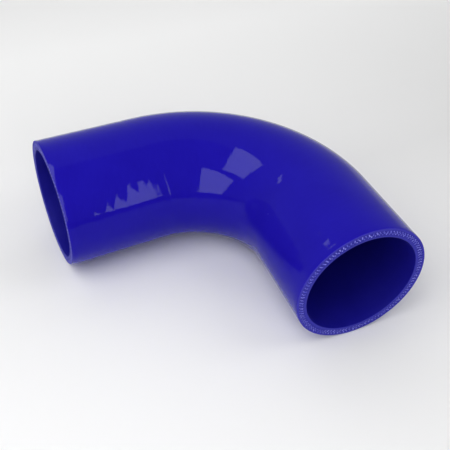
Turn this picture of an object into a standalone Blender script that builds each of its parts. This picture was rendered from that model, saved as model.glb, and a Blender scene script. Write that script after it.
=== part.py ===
"""A silicone elbow hose with a 63 mm bore, in metres, lying on its side with +Z up.

The hose is one moulded piece. A plain liner, four plies of fabric wound as one long spiral and a glossy
cover are laid up on a bent former, cured together and cut square at both ends. The two cut ends show the
spiral, so each has the seam between the plies as a fine groove that winds from the liner out to the cover.
"""

import math

import bmesh
import bpy
from mathutils import Matrix, Vector

# The wall, from the bore outwards
BORE_DIAMETER = 0.063
LINER = 0.0013
PLY_COUNT = 4
PLY_THICKNESS = 0.00075
COVER = 0.0012

# The route of the hose: a straight leg for the clamp, the bend, and the other leg
STRAIGHT_A = 0.058
THROAT_RADIUS = 0.034
BEND_ANGLE = math.radians(95)
STRAIGHT_B = 0.052

# The cut ends: the broken edge that the knife leaves, and the groove along the seam of the plies
CUT_EDGE = 0.0003
SEAM_WIDTH = 0.0003
SEAM_DEPTH = 0.00025
LAP_ANGLE = math.radians(240)

# Facets round the hose and along its bend
SEGMENTS = 48
BEND_STEPS = 20

BORE_RADIUS = BORE_DIAMETER / 2
FABRIC_RADIUS = BORE_RADIUS + LINER
OUTER_RADIUS = FABRIC_RADIUS + PLY_COUNT * PLY_THICKNESS + COVER
BEND_RADIUS = THROAT_RADIUS + OUTER_RADIUS

# End A is cut at x = 0 with the hose leading off along +X, and the bend turns it towards -Y.
BEND_CENTRE = Vector((STRAIGHT_A, -BEND_RADIUS, 0))
BEND_AXIS = Vector((0, 0, -1))
END_A = Matrix.Identity(4)
BEND = (
    Matrix.Translation(BEND_CENTRE)
    @ Matrix.Rotation(BEND_ANGLE, 4, BEND_AXIS)
    @ Matrix.Translation(-BEND_CENTRE)
)
END_B = BEND @ Matrix.Translation((STRAIGHT_A + STRAIGHT_B, 0, 0))

MERGE = 1e-6
SILICONE_BLUE = (0.014, 0.008, 0.352, 1)


def clear_scene():
    for item in list(bpy.data.objects):
        bpy.data.objects.remove(item, do_unlink=True)


def silicone():
    """Glossy royal blue silicone rubber."""
    material = bpy.data.materials.new("royal_blue_silicone")
    material.use_nodes = True
    shader = material.node_tree.nodes["Principled BSDF"]
    shader.inputs["Base Color"].default_value = SILICONE_BLUE
    shader.inputs["Roughness"].default_value = 0.18
    shader.inputs["Metallic"].default_value = 0
    return material


def section_point(radius, step, along=0.0):
    """A point of the hose's section: step 0 is on the outside of the bend, and a quarter turn on is the top."""
    angle = 2 * math.pi * step / SEGMENTS
    return Vector((along, radius * math.cos(angle), radius * math.sin(angle)))


def loop_of(bm, radius, along):
    """A closed loop of edges round the centreline of end A's leg."""
    verts = [bm.verts.new(section_point(radius, step, along)) for step in range(SEGMENTS)]
    return [bm.edges.new((verts[step - 1], verts[step])) for step in range(SEGMENTS)]


def edges_in(geometry):
    return [item for item in geometry if isinstance(item, bmesh.types.BMEdge)]


def extrude_loops(bm, loops, travel):
    """Draws the loops out in a straight line, and gives the loops at the far end."""
    grown = bmesh.ops.extrude_edge_only(bm, edges=loops)["geom"]
    verts = [item for item in grown if isinstance(item, bmesh.types.BMVert)]
    bmesh.ops.translate(bm, verts=verts, vec=travel)
    return edges_in(grown)


def sweep_walls(bm):
    """The bore and the outside, drawn along the route from one broken edge to the other."""
    loops = loop_of(bm, BORE_RADIUS, CUT_EDGE) + loop_of(bm, OUTER_RADIUS, CUT_EDGE)
    heading = Vector((1, 0, 0))
    loops = extrude_loops(bm, loops, heading * (STRAIGHT_A - CUT_EDGE))
    bent = bmesh.ops.spin(
        bm,
        geom=loops,
        cent=BEND_CENTRE,
        axis=BEND_AXIS,
        angle=BEND_ANGLE,
        steps=BEND_STEPS,
        use_duplicate=False,
    )
    heading = BEND.to_3x3() @ heading
    extrude_loops(bm, edges_in(bent["geom_last"]), heading * (STRAIGHT_B - CUT_EDGE))


def cut_face(bm, end, outward):
    """A square-cut end: a flat ring with broken edges, in which the plies' seam is a groove of V section.

    end places the section at the cut, with x along the hose, and outward is 1 or -1 along that x.
    """

    def vertex(radius, step, depth=0.0):
        return bm.verts.new(end @ section_point(radius, step, -outward * depth))

    def circle(radius, depth=0.0):
        """One turn of vertices from the lap, whose last one is the first again."""
        turn = [vertex(radius, lap + step, depth) for step in range(SEGMENTS)]
        return turn + turn[:1]

    def strip(one, other):
        for here in range(len(one) - 1):
            bm.faces.new((one[here], one[here + 1], other[here + 1], other[here]))

    lap = round(SEGMENTS * LAP_ANGLE / (2 * math.pi))
    bore = circle(BORE_RADIUS + CUT_EDGE)
    rim = circle(OUTER_RADIUS - CUT_EDGE)
    strip(circle(BORE_RADIUS, CUT_EDGE), bore)
    strip(rim, circle(OUTER_RADIUS, CUT_EDGE))

    # The groove, as three lines of vertices that wind once for each ply
    near, root, far = [], [], []
    last = PLY_COUNT * SEGMENTS
    for count in range(last + 1):
        seam = FABRIC_RADIUS + PLY_THICKNESS * count / SEGMENTS
        near.append(vertex(seam - SEAM_WIDTH / 2, lap + count))
        root.append(vertex(seam, lap + count, SEAM_DEPTH))
        far.append(vertex(seam + SEAM_WIDTH / 2, lap + count))
    strip(near, root)
    strip(root, far)
    bm.faces.new((near[0], root[0], far[0]))
    bm.faces.new((near[last], root[last], far[last]))

    # The flats: the liner inside the first turn, each ply between two turns, and the cover outside the last
    strip(bore[:SEGMENTS], near[:SEGMENTS])
    strip(far[:-SEGMENTS], near[SEGMENTS:])
    strip(far[-SEGMENTS:], rim[-SEGMENTS:])

    # At the lap the liner and the cover each meet two turns of the groove
    turned = SEGMENTS
    begun = last - SEGMENTS
    bm.faces.new((bore[turned - 1], bore[turned], near[0], far[0], near[turned], near[turned - 1]))
    bm.faces.new((far[begun], far[begun + 1], rim[1], rim[0], far[last], near[last]))


def elbow_hose():
    """The whole hose as one closed solid."""
    bm = bmesh.new()
    sweep_walls(bm)
    cut_face(bm, END_A, outward=-1)
    cut_face(bm, END_B, outward=1)
    bmesh.ops.remove_doubles(bm, verts=bm.verts, dist=MERGE)
    bmesh.ops.recalc_face_normals(bm, faces=bm.faces)
    mesh = bpy.data.meshes.new("elbow_hose")
    bm.to_mesh(mesh)
    bm.free()
    mesh.shade_smooth()
    mesh.set_sharp_from_angle(angle=math.radians(30))
    mesh.materials.append(silicone())
    hose = bpy.data.objects.new("elbow_hose", mesh)
    bpy.context.scene.collection.objects.link(hose)
    return hose


def lay_on_floor(hose):
    """Puts the origin below the middle of the hose's box, at the level that it lies on."""
    corners = [Vector(corner) for corner in hose.bound_box]
    low = Vector(min(corner[axis] for corner in corners) for axis in range(3))
    high = Vector(max(corner[axis] for corner in corners) for axis in range(3))
    middle = (low + high) / 2
    hose.location = (-middle.x, -middle.y, -low.z)


clear_scene()
lay_on_floor(elbow_hose())
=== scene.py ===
import itertools
import math

import bpy
import numpy as np
from mathutils import Matrix, Vector


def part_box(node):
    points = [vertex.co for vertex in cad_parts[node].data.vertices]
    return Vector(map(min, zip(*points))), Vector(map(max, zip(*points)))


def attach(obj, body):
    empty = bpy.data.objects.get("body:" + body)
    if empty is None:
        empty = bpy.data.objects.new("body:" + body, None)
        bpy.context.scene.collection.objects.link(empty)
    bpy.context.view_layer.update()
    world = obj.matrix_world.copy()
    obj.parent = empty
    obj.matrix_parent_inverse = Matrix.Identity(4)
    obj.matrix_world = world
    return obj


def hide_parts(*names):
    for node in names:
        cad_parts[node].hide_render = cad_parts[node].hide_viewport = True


# The looks of a royal blue silicone elbow hose: a glossy cover that still has the faint print of the tape it
# was cured under, a plainer bore, and two cut ends that show the yarns of the fabric plies.

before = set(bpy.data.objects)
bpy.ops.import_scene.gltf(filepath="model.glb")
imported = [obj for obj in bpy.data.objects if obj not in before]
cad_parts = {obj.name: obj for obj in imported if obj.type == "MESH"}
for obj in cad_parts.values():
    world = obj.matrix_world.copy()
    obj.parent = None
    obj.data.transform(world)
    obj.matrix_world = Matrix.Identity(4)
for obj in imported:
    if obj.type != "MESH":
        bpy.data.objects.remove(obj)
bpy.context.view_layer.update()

# The route and the wall, in metres, as the solid has them
HOSE = "elbow_hose"
LOW, HIGH = (np.array(corner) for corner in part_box(HOSE))
OUTER_RADIUS = (HIGH[2] - LOW[2]) / 2
BORE_RADIUS = 0.0315
LINER = 0.0013
PLY_COUNT = 4
PLY_THICKNESS = 0.00075
STRAIGHT_A = 0.058
STRAIGHT_B = 0.052
BEND_RADIUS = 0.071
BEND_ANGLE = math.radians(95)
CUT_EDGE = 0.0003
LAP_ANGLE = math.radians(240)

FABRIC_RADIUS = BORE_RADIUS + LINER
COVER_RADIUS = FABRIC_RADIUS + PLY_COUNT * PLY_THICKNESS
BEND_LENGTH = BEND_RADIUS * BEND_ANGLE
LENGTH = STRAIGHT_A + BEND_LENGTH + STRAIGHT_B
END_A = np.array((LOW[0], HIGH[1] - OUTER_RADIUS, OUTER_RADIUS))
BEND_CENTRE = END_A + np.array((STRAIGHT_A, -BEND_RADIUS, 0))
UP = np.array((0.0, 0.0, 1.0))

# The mesh: facets round the hose, which start along the bottom, and loops along each zone of the wall
SEGMENTS = 144
SEAM_TURN = -0.25
SKIN_LOOPS = 568
BORE_LOOPS = 44
EDGE_LOOPS = 3
COVER_LOOPS = 5
FABRIC_LOOPS = 20
LINER_LOOPS = 6

# How many millimetres a metre has: the tape's pattern is in millimetres
MM = 1000

# The print of the tape near each end: where each wrap starts along the hose, in millimetres, at a turn of
# TAPE_TURN, which is in the bend's throat, and how many degrees the skin tilts at the wrap's edges
TAPE_NEAR_A = (
    (0.23, 0.60), (4.55, 0.92), (8.52, 0.91), (12.87, 0.77), (16.72, 0.75), (23.55, 0.97), (28.14, 0.90),
    (34.82, 0.47), (35.60, 0.81), (42.09, 0.32), (46.10, 0.44), (49.99, 0.27), (53.87, 2.20), (61.68, 0.11),
    (68.07, 0.88), (74.22, 0.77), (85.35, 0.69),
)
TAPE_NEAR_B = (
    (191.77, 0.76), (197.46, 0.76), (202.48, 0.96), (207.42, 0.76),
    (214.83, 0.83), (221.32, 0.49), (226.53, 1.49), (234.17, 0.84),
)
TAPE_TURN = 150 / 360
# How much the wraps slant, in millimetres a turn, at places along the hose
TAPE_SLANT = (-82.8, 47.9, 29.0)
TAPE_SLANT_ALONG = (22, 54, 190)
# The wraps between the two ends and past them: the range of their widths, in millimetres, and of their tilts.
# TAPE_PAST is how far the slanting wraps have to go on past each end, and those of the bend stop within
# TAPE_JOIN of the first wrap that is given near end B.
TAPE_WIDTHS = (4.2, 6.2)
TAPE_TILTS_IN_BEND = (0.12, 0.35)
TAPE_TILTS_PAST_ENDS = (0.4, 0.8)
TAPE_PAST = 100
TAPE_JOIN = 7
TAPE_SEED = 7

# The cover draws in a little at each cut end: over what length, and how far at the cut. Round end A it draws
# in by a share of that depth, DRAWN_LEVEL_A give or take DRAWN_SWING_A but between 0 and 1. The share is
# greatest at the turn DRAWN_TURN_A, on the throat's side, and nothing on the outside of the bend.
DRAWN_LENGTH_A = 0.0041
DRAWN_DEPTH_A = 0.0009
DRAWN_TURN_A = 0.51
DRAWN_LEVEL_A = 0.5
DRAWN_SWING_A = 1.5
DRAWN_LENGTH_B = 0.003
DRAWN_DEPTH_B = 0.0002

# The groove between the plies in a cut end
SEAM_WIDTH = 0.00028
SEAM_DEPTH = 0.00008

# The yarns that are cut through there, each a low oval dome. The jitter is a share of the pitch, and the
# margin is the share of a ply below the cover where no yarn has its middle.
YARN_PITCH = 0.002025
YARN_JITTER = 0.12
YARN_MARGIN = 0.4
YARN_LENGTH = 0.00095
YARN_WIDTH = 0.00072
YARN_PROUD = 0.00004
YARN_BURIED = 0.0001
# The crest's shares of the oval's size and of how proud the tip stands
YARN_CREST_SIZE = 0.6
YARN_CREST_HEIGHT = 0.8
YARN_SIDES = 8
YARN_SLANT = math.radians(75)
YARN_SLANT_SPREAD = 0.3
YARN_SIZES = (0.85, 1.15)
YARN_SMALLER = 0.85
YARN_SEED = 11

COVER_BLUE = (0.0118, 0.0063, 0.35, 1)
COVER_DEEP = (0.0105, 0.0052, 0.325, 1)
COVER_STREAK = (0.0135, 0.0085, 0.37, 1)
COVER_DUST = (0.25, 0.25, 0.62, 1)
# The bore's blues are darker than the cover's: painted shade for the inside of the hose, mottled at random
# between the two
BORE_SHADED_DEEP = (0.0095, 0.0080, 0.26, 1)
BORE_SHADED_BLUE = (0.0110, 0.0092, 0.29, 1)
CUT_COVER_BLUE = (0.044, 0.038, 0.45, 1)
CUT_LINER_BLUE = (0.040, 0.038, 0.41, 1)
CUT_GRAIN_SHADE = 0.82
FABRIC_DEEP = (0.018, 0.015, 0.29, 1)
FABRIC_BLUE = (0.031, 0.029, 0.36, 1)
FABRIC_FIBRE = (0.11, 0.11, 0.58, 1)
YARN_SOAKED = (0.080, 0.080, 0.57, 1)
YARN_PALE = (0.31, 0.31, 0.86, 1)
FLOOR_PALE = (0.91, 0.91, 0.91, 1)

# The photograph's view, in metres, degrees and millimetres
CAMERA_PLACE = (-0.13091, -0.25055, 0.2762)
CAMERA_AZIMUTH = -28.37
CAMERA_ELEVATION = 41.235
CAMERA_ROLL = 2.28
CAMERA_LENS = 51.97

# The studio, in metres. FLOOR_LIFT is how much lighter the floor looks where the lamps reach less, if 1 is
# white: it grows from the first to the second distance behind the middle of the hose, and away from it.
FLOOR_HALF = 9
FLOOR_LIFT = 0.25
FLOOR_LIFT_BEHIND = (0.05, 0.3)
FLOOR_LIFT_AWAY = (0.6, 1.3)
LAMP_SIZE = 0.5
SOFTBOX_DISTANCE = 4
SOFTBOX_STRENGTH = 7.3
CARD_NEAR = 0.21
CARD_FAR = 3.9
CARD_HALF_WIDTH = 1.5
CARD_HEIGHT = 0.0005

# The room's greys in front of the hose and behind it. On a sphere of radius 1, the change from one to the
# other runs, front to back, over ROOM_CHANGE_LEVEL at the horizon and over ROOM_CHANGE_TOP from ROOM_TOP up.
ROOM_FRONT = (0.16, 0.16, 0.16, 1)
ROOM_BACK = (0.60, 0.60, 0.60, 1)
ROOM_CHANGE_LEVEL = (-0.8, 0.9)
ROOM_CHANGE_TOP = (0.12, 0.16)
ROOM_TOP = 0.97


# Shape

def route(along):
    """Points of the centreline, at distances from end A, with the outward side of the bend at each."""
    turned = np.clip((along - STRAIGHT_A) / BEND_RADIUS, 0, BEND_ANGLE)[..., None]
    outward = np.concatenate([np.sin(turned), np.cos(turned), 0 * turned], axis=-1)
    heading = np.concatenate([np.cos(turned), -np.sin(turned), 0 * turned], axis=-1)
    before = np.minimum(along - STRAIGHT_A, 0)[..., None]
    after = np.maximum(along - STRAIGHT_A - BEND_LENGTH, 0)[..., None]
    return BEND_CENTRE + BEND_RADIUS * outward + heading * (before + after), outward


def on_hose(along, radius, turn):
    """Points at a distance along the hose, a radius, and a turn from the outside of the bend."""
    centre, outward = route(along)
    angle = 2 * math.pi * turn[..., None]
    return centre + radius[..., None] * (np.cos(angle) * outward + np.sin(angle) * UP)


def tape_wraps():
    """The start of each wrap, in millimetres, and its tilt: the given ones and others like them."""
    rng = np.random.default_rng(TAPE_SEED)
    wraps = list(TAPE_NEAR_A)
    while wraps[0][0] > -TAPE_PAST:
        wraps.insert(0, (wraps[0][0] - rng.uniform(*TAPE_WIDTHS), rng.uniform(*TAPE_TILTS_PAST_ENDS)))
    while wraps[-1][0] < TAPE_NEAR_B[0][0] - TAPE_JOIN:
        wraps.append((wraps[-1][0] + rng.uniform(*TAPE_WIDTHS), rng.uniform(*TAPE_TILTS_IN_BEND)))
    wraps.extend(TAPE_NEAR_B)
    while wraps[-1][0] < MM * LENGTH + TAPE_PAST:
        wraps.append((wraps[-1][0] + rng.uniform(*TAPE_WIDTHS), rng.uniform(*TAPE_TILTS_PAST_ENDS)))
    return np.array(wraps).T


def tape_way(along, turn):
    """How far along the tape's pattern a point of the skin is, in millimetres."""
    slant = np.interp(MM * along, TAPE_SLANT_ALONG, TAPE_SLANT)
    return MM * along - slant * (turn - TAPE_TURN)


def tape_print(along, turn):
    """How far the tape pressed the skin in. Each wrap leaves a shallow dish with a fine ridge either side."""
    way = tape_way(along, turn)
    starts, tilts = tape_wraps()
    wrap = np.searchsorted(starts, way, side="right") - 1
    width = starts[wrap + 1] - starts[wrap]
    across = 2 * (way - starts[wrap]) / width - 1
    return (1 - across ** 2) * np.tan(np.radians(tilts[wrap])) * width / (4 * MM)


def drawn_in(along, radius, turn):
    """How far the cover draws in near a cut end, from nothing at the fabric to all of it at the skin."""
    near_a = np.clip(1 - along / DRAWN_LENGTH_A, 0, 1)
    near_b = np.clip(1 - (LENGTH - along) / DRAWN_LENGTH_B, 0, 1)
    side_a = np.clip(DRAWN_LEVEL_A + DRAWN_SWING_A * np.cos(2 * math.pi * (turn - DRAWN_TURN_A)), 0, 1)
    within_cover = np.clip((radius - COVER_RADIUS) / (OUTER_RADIUS - COVER_RADIUS), 0, 1)
    return (DRAWN_DEPTH_A * side_a * near_a ** 2 + DRAWN_DEPTH_B * near_b ** 2) * within_cover


def seam_depth(radius, turn):
    """The depth of the groove that winds through the fabric once for each ply."""
    past_lap = (turn - LAP_ANGLE / (2 * math.pi)) % 1
    plies = (radius - FABRIC_RADIUS) / PLY_THICKNESS - past_lap
    nearest = np.clip(np.round(plies), 0, PLY_COUNT - 1)
    away = np.abs(plies - nearest) * PLY_THICKNESS
    return SEAM_DEPTH * np.clip(1 - 2 * away / SEAM_WIDTH, 0, 1)


def cut_profile():
    """Depth, radius and zone of each loop over a cut end, from the cover's edge to the bore's."""
    bends = [math.pi / 2 * step / EDGE_LOOPS for step in range(1, EDGE_LOOPS + 1)]
    loops = [
        (CUT_EDGE * (1 - math.sin(bend)), OUTER_RADIUS + CUT_EDGE * (math.cos(bend) - 1), "cut_cover")
        for bend in bends
    ]
    bands = (
        (OUTER_RADIUS - CUT_EDGE, COVER_RADIUS, COVER_LOOPS, "cut_cover"),
        (COVER_RADIUS, FABRIC_RADIUS, FABRIC_LOOPS, "cut_fabric"),
        (FABRIC_RADIUS, BORE_RADIUS + CUT_EDGE, LINER_LOOPS, "cut_liner"),
    )
    for start, stop, count, zone in bands:
        loops.extend((0, radius, zone) for radius in np.linspace(start, stop, count + 1)[1:])
    loops.extend(
        (CUT_EDGE * (1 - math.cos(bend)), BORE_RADIUS + CUT_EDGE * (1 - math.sin(bend)), "cut_liner")
        for bend in bends
    )
    return loops


def wall_loops():
    """Along, radius and zone of every loop, down the skin, over end B, back up the bore and over end A.

    A loop's zone is that of the wall between the loop before it and the loop itself.
    """
    down = np.linspace(CUT_EDGE, LENGTH - CUT_EDGE, SKIN_LOOPS + 1)
    skin = [(along, OUTER_RADIUS, "cover") for along in down]
    end_b = [(LENGTH - depth, radius, zone) for depth, radius, zone in cut_profile()]
    back = np.linspace(LENGTH - CUT_EDGE, CUT_EDGE, BORE_LOOPS + 1)[1:]
    bore = [(along, BORE_RADIUS, "bore") for along in back]
    over_a = cut_profile()[::-1]
    end_a = [(depth, radius, before[2]) for before, (depth, radius, _) in zip(over_a, over_a[1:])]
    return skin + end_b + bore + end_a


def wall_faces(loops):
    """Two triangles for each facet between a loop and the next, and between the last and the first."""
    first = np.arange(loops)[:, None]
    second = (first + 1) % loops
    column = np.arange(SEGMENTS)[None, :]
    beside = (column + 1) % SEGMENTS
    near, near_beside = first * SEGMENTS + column, first * SEGMENTS + beside
    far, far_beside = second * SEGMENTS + column, second * SEGMENTS + beside
    return np.stack([near, near_beside, far, far, near_beside, far_beside], axis=-1).reshape(-1, 3)


def hose_mesh(materials):
    """The whole wall as one closed mesh, with a material for each zone."""
    loops = wall_loops()
    zones = [zone for _, _, zone in loops]
    turn = SEAM_TURN + np.arange(SEGMENTS)[None, :] / SEGMENTS
    along = np.array([loop[0] for loop in loops])[:, None] + 0 * turn
    radius = np.array([loop[1] for loop in loops])[:, None] + 0 * turn
    radius -= drawn_in(along, radius, turn)
    skin = slice(0, SKIN_LOOPS + 1)
    radius[skin] -= tape_print(along[skin], turn)
    groove = seam_depth(radius, turn) * np.array([zone == "cut_fabric" for zone in zones])[:, None]
    groove = np.where(along < LENGTH / 2, groove, -groove)
    points = on_hose(along + groove, radius, turn + 0 * radius)

    mesh = bpy.data.meshes.new("silicone_elbow_hose")
    mesh.from_pydata(points.reshape(-1, 3).tolist(), [], wall_faces(len(loops)).tolist())
    for material in materials.values():
        mesh.materials.append(material)
    names = list(materials)
    after = [names.index(zone) for zone in zones[1:] + zones[:1]]
    mesh.polygons.foreach_set("material_index", np.repeat(after, 2 * SEGMENTS).astype(np.int32))

    round_way = MM * 2 * math.pi * OUTER_RADIUS * turn
    way = np.stack([tape_way(along, turn), round_way + 0 * along, 0 * along], axis=-1)
    stored = mesh.attributes.new("tape_way", "FLOAT_VECTOR", "POINT")
    stored.data.foreach_set("vector", way.astype(np.float32).ravel())
    mesh.shade_smooth()
    mesh.update()
    return mesh


def added(name, data):
    """A new object in the scene."""
    made = bpy.data.objects.new(name, data)
    bpy.context.scene.collection.objects.link(made)
    return made


def dress(piece):
    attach(piece, "root")


def silicone_hose():
    materials = {
        "cover": glossy_cover(),
        "bore": bore_silicone(),
        "cut_cover": cut_silicone("cut_cover", CUT_COVER_BLUE),
        "cut_fabric": cut_fabric(),
        "cut_liner": cut_silicone("cut_liner", CUT_LINER_BLUE),
    }
    piece = added("silicone_elbow_hose", hose_mesh(materials))
    dress(piece)
    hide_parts(HOSE)


def yarn_end_template():
    """A low dome on an oval: a buried loop, a loop at the cut, a crest, and a tip that stands proud."""
    sides = YARN_SIDES
    angle = np.arange(sides) * 2 * math.pi / sides
    oval = np.stack([np.cos(angle) * YARN_LENGTH / 2, np.sin(angle) * YARN_WIDTH / 2, 0 * angle], axis=-1)
    root = oval - (0, 0, YARN_BURIED)
    crest = oval * YARN_CREST_SIZE + (0, 0, YARN_PROUD * YARN_CREST_HEIGHT)
    tip = np.array([[0, 0, YARN_PROUD]])
    faces = [tuple(reversed(range(sides)))]
    for here in range(sides):
        beside = (here + 1) % sides
        faces.append((here, beside, sides + beside, sides + here))
        faces.append((sides + here, sides + beside, 2 * sides + beside, 2 * sides + here))
        faces.append((2 * sides + here, 2 * sides + beside, 3 * sides))
    return np.concatenate([root, oval, crest, tip]), faces


def spiral_places(rng):
    """The angle past the lap and the radius of each cut yarn, at a nearly even pitch along the spiral."""
    growth = PLY_THICKNESS / (2 * math.pi)
    start = FABRIC_RADIUS + PLY_THICKNESS / 2
    for count in itertools.count():
        length = (count + rng.uniform(-YARN_JITTER, YARN_JITTER)) * YARN_PITCH
        angle = (math.sqrt(start ** 2 + 2 * growth * length) - start) / growth
        radius = start + growth * angle
        if radius > COVER_RADIUS - PLY_THICKNESS * YARN_MARGIN:
            return
        yield angle, radius


def yarn_ends(name, along, outward, material):
    """The cut yarns of one end, whose rows in neighbouring plies slide past each other round the ring.

    They lean a little to and fro round YARN_SLANT from the ring's direction, and every second one is smaller.
    """
    rng = np.random.default_rng(YARN_SEED)
    template, faces = yarn_end_template()
    centre, side = route(np.array(along))
    vertices, polygons = [], []
    for count, (angle, radius) in enumerate(spiral_places(rng)):
        slant = YARN_SLANT + rng.normal(0, YARN_SLANT_SPREAD)
        size = rng.uniform(*YARN_SIZES) * (1 if count % 2 else YARN_SMALLER)
        round_ring = LAP_ANGLE + angle
        radial = math.cos(round_ring) * side + math.sin(round_ring) * UP
        tangent = np.cross(outward, radial)
        long_way = math.cos(slant) * tangent + math.sin(slant) * radial
        axes = np.stack([long_way * size, np.cross(outward, long_way) * size, outward])
        vertices.append(centre + radial * radius + template @ axes)
        first = count * len(template)
        polygons.extend(tuple(first + corner for corner in face) for face in faces)
    mesh = bpy.data.meshes.new(name)
    mesh.from_pydata(np.concatenate(vertices).tolist(), [], polygons)
    mesh.materials.append(material)
    mesh.shade_smooth()
    dress(added(name, mesh))


# Materials

def new_material(name):
    """A material, its node tree and its shader."""
    material = bpy.data.materials.new(name)
    material.use_nodes = True
    return material, material.node_tree, material.node_tree.nodes["Principled BSDF"]


def place(tree):
    """Where a point of the object is, in metres."""
    return tree.nodes.new("ShaderNodeTexCoord").outputs["Object"]


def noise(tree, vector, scale, detail=3.0):
    node = tree.nodes.new("ShaderNodeTexNoise")
    node.inputs["Scale"].default_value = scale
    node.inputs["Detail"].default_value = detail
    node.inputs["Roughness"].default_value = 0.55
    tree.links.new(vector, node.inputs["Vector"])
    return node.outputs["Fac"]


def stretched(tree, vector, scale):
    node = tree.nodes.new("ShaderNodeMapping")
    node.inputs["Scale"].default_value = scale
    tree.links.new(vector, node.inputs["Vector"])
    return node.outputs["Vector"]


def part_of(tree, vector, axis):
    """One of X, Y and Z of a vector."""
    node = tree.nodes.new("ShaderNodeSeparateXYZ")
    tree.links.new(vector, node.inputs["Vector"])
    return node.outputs[axis]


def mapped(tree, value, low, high, start=0.3, stop=0.7):
    """A value between start and stop, spread from low to high."""
    node = tree.nodes.new("ShaderNodeMapRange")
    node.inputs["From Min"].default_value = start
    node.inputs["From Max"].default_value = stop
    node.inputs["To Min"].default_value = low
    node.inputs["To Max"].default_value = high
    tree.links.new(value, node.inputs["Value"])
    return node.outputs["Result"]


def combined(tree, operation, one, other):
    """Two values brought together by a Math node."""
    node = tree.nodes.new("ShaderNodeMath")
    node.operation = operation
    tree.links.new(one, node.inputs[0])
    tree.links.new(other, node.inputs[1])
    return node.outputs["Value"]


def mixed(tree, factor, one, other):
    """A colour between one and other, which are colours or outputs."""
    node = tree.nodes.new("ShaderNodeMix")
    node.data_type = "RGBA"
    tree.links.new(factor, node.inputs["Factor"])
    for name, colour in (("A", one), ("B", other)):
        socket = next(item for item in node.inputs if item.name == name and item.type == "RGBA")
        if isinstance(colour, tuple):
            socket.default_value = colour
        else:
            tree.links.new(colour, socket)
    return next(item for item in node.outputs if item.type == "RGBA")


def finish_surface(tree, shader, colour, roughness, height, distance, ior):
    """Sets the colour, the roughness, a relief that is distance metres high, and how strongly it mirrors."""
    relief = tree.nodes.new("ShaderNodeBump")
    relief.inputs["Distance"].default_value = distance
    tree.links.new(height, relief.inputs["Height"])
    tree.links.new(relief.outputs["Normal"], shader.inputs["Normal"])
    tree.links.new(colour, shader.inputs["Base Color"])
    tree.links.new(roughness, shader.inputs["Roughness"])
    shader.inputs["IOR"].default_value = ior


def glossy_cover():
    """Royal blue silicone cured under tape: glossy, with fine streaks along the wraps and a little dust."""
    material, tree, shader = new_material("glossy_blue_silicone")
    wound = tree.nodes.new("ShaderNodeAttribute")
    wound.attribute_name = "tape_way"
    streaks = noise(tree, stretched(tree, wound.outputs["Vector"], (1.3, 0.09, 1)), 1.0, detail=4)
    mottle = noise(tree, place(tree), 55)
    blue = mixed(tree, mapped(tree, mottle, 0, 1), COVER_BLUE, COVER_DEEP)
    blue = mixed(tree, mapped(tree, streaks, 0, 0.5, start=0.4, stop=0.8), blue, COVER_STREAK)

    specks = tree.nodes.new("ShaderNodeTexVoronoi")
    specks.inputs["Scale"].default_value = 75
    tree.links.new(place(tree), specks.inputs["Vector"])
    near = mapped(tree, specks.outputs["Distance"], 1, 0, start=0.018, stop=0.03)
    picked = tree.nodes.new("ShaderNodeSeparateColor")
    tree.links.new(specks.outputs["Color"], picked.inputs["Color"])
    rare = mapped(tree, picked.outputs["Red"], 0, 0.5, start=0.86, stop=0.9)
    blue = mixed(tree, combined(tree, "MULTIPLY", near, rare), blue, COVER_DUST)

    roughness = mapped(tree, streaks, 0.015, 0.03)
    finish_surface(tree, shader, blue, roughness, streaks, distance=0.0000025, ior=1.17)
    return material


def bore_silicone():
    """The liner seen from inside: the cover's blue darkened by painted shade, plainer, with faint lines from
    the former.
    """
    material, tree, shader = new_material("bore_shaded_blue_silicone")
    mottle = noise(tree, place(tree), 90)
    lines = noise(tree, stretched(tree, place(tree), (30, 30, 260)), 3)
    # Darker than the cover's blue: painted shade for the inside of the bore
    blue = mixed(tree, mapped(tree, mottle, 0, 1), BORE_SHADED_DEEP, BORE_SHADED_BLUE)
    roughness = mapped(tree, mottle, 0.36, 0.46)
    finish_surface(tree, shader, blue, roughness, lines, distance=0.000006, ior=1.15)
    return material


def cut_silicone(name, colour):
    """Silicone where the knife went through: matt and paler, with fine marks of the blade."""
    material, tree, shader = new_material(name)
    grain = noise(tree, place(tree), 1400, detail=4)
    darker = tuple(CUT_GRAIN_SHADE * part for part in colour[:3]) + (1,)
    blue = mixed(tree, mapped(tree, grain, 0, 1), darker, colour)
    roughness = mapped(tree, grain, 0.48, 0.62)
    finish_surface(tree, shader, blue, roughness, grain, distance=0.00002, ior=1.15)
    return material


def cut_fabric():
    """The rubber between the yarns, which is paler than the cover because fibres show all through it."""
    material, tree, shader = new_material("cut_fabric")
    coarse = noise(tree, place(tree), 900)
    fine = noise(tree, place(tree), 2600)
    blue = mixed(tree, mapped(tree, coarse, 0, 1, start=0.35, stop=0.65), FABRIC_DEEP, FABRIC_BLUE)
    blue = mixed(tree, mapped(tree, fine, 0, 0.5, start=0.58, stop=0.75), blue, FABRIC_FIBRE)
    roughness = mapped(tree, coarse, 0.55, 0.7)
    finish_surface(tree, shader, blue, roughness, fine, distance=0.00003, ior=1.2)
    return material


def polyester_yarn():
    """Cut ends of pale yarn, dyed unevenly by the blue rubber that they were soaked in."""
    material, tree, shader = new_material("polyester_yarn")
    soaked = noise(tree, place(tree), 420, detail=2)
    fibres = noise(tree, place(tree), 5200, detail=2)
    blue = mixed(tree, mapped(tree, soaked, 0, 1, start=0.35, stop=0.68), YARN_SOAKED, YARN_PALE)
    roughness = mapped(tree, fibres, 0.45, 0.7)
    finish_surface(tree, shader, blue, roughness, fibres, distance=0.00001, ior=1.2)
    return material


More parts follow.
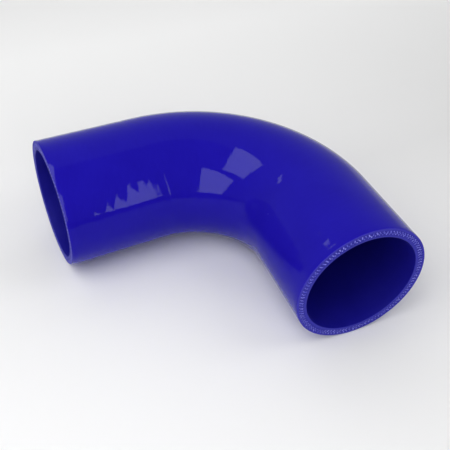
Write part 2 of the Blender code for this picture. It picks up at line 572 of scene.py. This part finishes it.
def floor_material():
    """Pale and matt, and lighter than it is lit where the lamps reach less, behind the hose and far off."""
    material, tree, shader = new_material("pale_floor")
    here = place(tree)
    distance = tree.nodes.new("ShaderNodeVectorMath")
    distance.operation = "LENGTH"
    tree.links.new(here, distance.inputs[0])
    behind = mapped(tree, part_of(tree, here, "Y"), 0, FLOOR_LIFT, *FLOOR_LIFT_BEHIND)
    away = mapped(tree, distance.outputs["Value"], 0, FLOOR_LIFT, *FLOOR_LIFT_AWAY)
    lift = combined(tree, "MAXIMUM", behind, away)
    path = tree.nodes.new("ShaderNodeLightPath")
    seen = combined(tree, "MAXIMUM", path.outputs["Is Camera Ray"], path.outputs["Is Glossy Ray"])
    seen = combined(tree, "MAXIMUM", seen, path.outputs["Is Transmission Ray"])
    tree.links.new(combined(tree, "MULTIPLY", lift, seen), shader.inputs["Emission Strength"])
    shader.inputs["Emission Color"].default_value = (1, 1, 1, 1)
    shader.inputs["Base Color"].default_value = FLOOR_PALE
    shader.inputs["Roughness"].default_value = 0.9
    shader.inputs["Specular IOR Level"].default_value = 0
    material.cycles.emission_sampling = "NONE"
    return material


def black_card():
    material, _, shader = new_material("black_card")
    shader.inputs["Base Color"].default_value = (0, 0, 0, 1)
    shader.inputs["Specular IOR Level"].default_value = 0
    return material


def glowing(name, strength):
    """A surface that only gives off white light."""
    material = bpy.data.materials.new(name)
    material.use_nodes = True
    tree = material.node_tree
    tree.nodes.clear()
    glow = tree.nodes.new("ShaderNodeEmission")
    glow.inputs["Strength"].default_value = strength
    output = tree.nodes.new("ShaderNodeOutputMaterial")
    tree.links.new(glow.outputs["Emission"], output.inputs["Surface"])
    return material


# Camera, floor and light

def direction(azimuth, elevation):
    """A unit vector: azimuth 0 is towards the front, -Y, and 90 towards the right, +X."""
    azimuth, elevation = math.radians(azimuth), math.radians(elevation)
    flat = math.cos(elevation)
    return Vector((math.sin(azimuth) * flat, -math.cos(azimuth) * flat, math.sin(elevation)))


def camera():
    """Looks down on the hose from the front left, rolled a little, as the photograph does."""
    azimuth, roll = math.radians(CAMERA_AZIMUTH), math.radians(CAMERA_ROLL)
    back = direction(CAMERA_AZIMUTH, CAMERA_ELEVATION)
    level = Vector((math.cos(azimuth), math.sin(azimuth), 0))
    upright = back.cross(level)
    right = level * math.cos(roll) + upright * math.sin(roll)
    top = upright * math.cos(roll) - level * math.sin(roll)
    data = bpy.data.cameras.new("camera")
    data.lens = CAMERA_LENS
    data.sensor_width = 36
    data.clip_start = 0.01
    made = added("camera", data)
    turned = Matrix((right, top, back)).transposed().to_4x4()
    made.matrix_world = Matrix.Translation(CAMERA_PLACE) @ turned
    bpy.context.scene.camera = made


def flat_face(name, corners, material):
    """An object that is one flat face."""
    mesh = bpy.data.meshes.new(name)
    mesh.from_pydata(corners, [], [tuple(range(len(corners)))])
    mesh.materials.append(material)
    return added(name, mesh)


def floor():
    half = FLOOR_HALF
    corners = [(-half, -half, 0), (half, -half, 0), (half, half, 0), (-half, half, 0)]
    flat_face("floor", corners, floor_material())


def dark_card():
    """A black card that lies on the floor in front of the hose and only shows in the gloss."""
    towards = direction(CAMERA_AZIMUTH, 0)
    across = Vector((-towards.y, towards.x, 0)) * CARD_HALF_WIDTH
    near = towards * CARD_NEAR + Vector((0, 0, CARD_HEIGHT))
    far = towards * CARD_FAR + Vector((0, 0, CARD_HEIGHT))
    made = flat_face("dark_card", [near - across, near + across, far + across, far - across], black_card())
    made.visible_camera = False
    made.visible_diffuse = False
    made.visible_shadow = False


def softbox(name, corners, strength=SOFTBOX_STRENGTH):
    """A flat lamp that shows in the gloss, given by the azimuth and elevation of its corners."""
    points = [direction(azimuth, elevation) * SOFTBOX_DISTANCE for azimuth, elevation in corners]
    made = flat_face(name, points, glowing(name, strength))
    made.visible_camera = False
    made.visible_diffuse = False


def fill_lamp(name, azimuth, elevation, distance, level):
    """A soft lamp that leaves no highlight. level is how bright a white surface that faces it becomes."""
    data = bpy.data.lights.new(name, "AREA")
    data.shape = "DISK"
    data.size = LAMP_SIZE
    data.energy = level * math.pi ** 2 * distance ** 2
    made = added(name, data)
    made.location = direction(azimuth, elevation) * distance
    made.rotation_mode = "QUATERNION"
    made.rotation_quaternion = direction(azimuth, elevation).to_track_quat("Z", "Y")
    made.visible_glossy = False
    made.visible_camera = False


def studio_world():
    """A dim room that is lighter behind the hose than in front of it.

    The change from front to back is slow at the height of the horizon and sharp overhead.
    """
    world = bpy.data.worlds.new("studio")
    bpy.context.scene.world = world
    world.use_nodes = True
    tree = world.node_tree
    view = tree.nodes.new("ShaderNodeTexCoord").outputs["Generated"]
    height = part_of(tree, view, "Z")
    behind = tree.nodes.new("ShaderNodeMapRange")
    tree.links.new(part_of(tree, view, "Y"), behind.inputs["Value"])
    for name, level, top in zip(("From Min", "From Max"), ROOM_CHANGE_LEVEL, ROOM_CHANGE_TOP):
        tree.links.new(mapped(tree, height, level, top, 0, ROOM_TOP), behind.inputs[name])
    background = tree.nodes["Background"]
    tree.links.new(mixed(tree, behind.outputs["Result"], ROOM_FRONT, ROOM_BACK), background.inputs["Color"])
    background.inputs["Strength"].default_value = 1


def lights():
    fill_lamp("key", -65, 56, 0.55, level=0.58)
    fill_lamp("fill_front", 2, 25, 0.85, level=0.22)
    fill_lamp("fill_right", 60, 50, 0.85, level=0.14)
    fill_lamp("fill_back", 175, 55, 0.85, level=0.04)
    softbox("window", ((7.15, -12.5), (16.19, 2.51), (15.76, 5.95), (17.98, 37.66)))
    softbox("softbox_left", ((-34.07, 45.2), (-28.3, 0.9), (-60.9, -4.9), (-78.7, 27.2)))
    softbox("softbox_top", ((-145.0, 74.4), (-63.4, 43.6), (-91.8, 33.0), (-132.4, 56.0)))
    back = ((-142.15, 36.88), (-147.39, 41.75), (-154.34, 48.85), (-144.25, 44.77))
    softbox("softbox_back", back, strength=6.0)


bpy.context.scene.view_settings.view_transform = "Standard"
camera()
floor()
dark_card()
studio_world()
lights()
silicone_hose()
yarn = polyester_yarn()
yarn_ends("yarn_ends_a", 0.0, np.array((-1.0, 0.0, 0.0)), yarn)
yarn_ends("yarn_ends_b", LENGTH, np.array((math.cos(BEND_ANGLE), -math.sin(BEND_ANGLE), 0.0)), yarn)
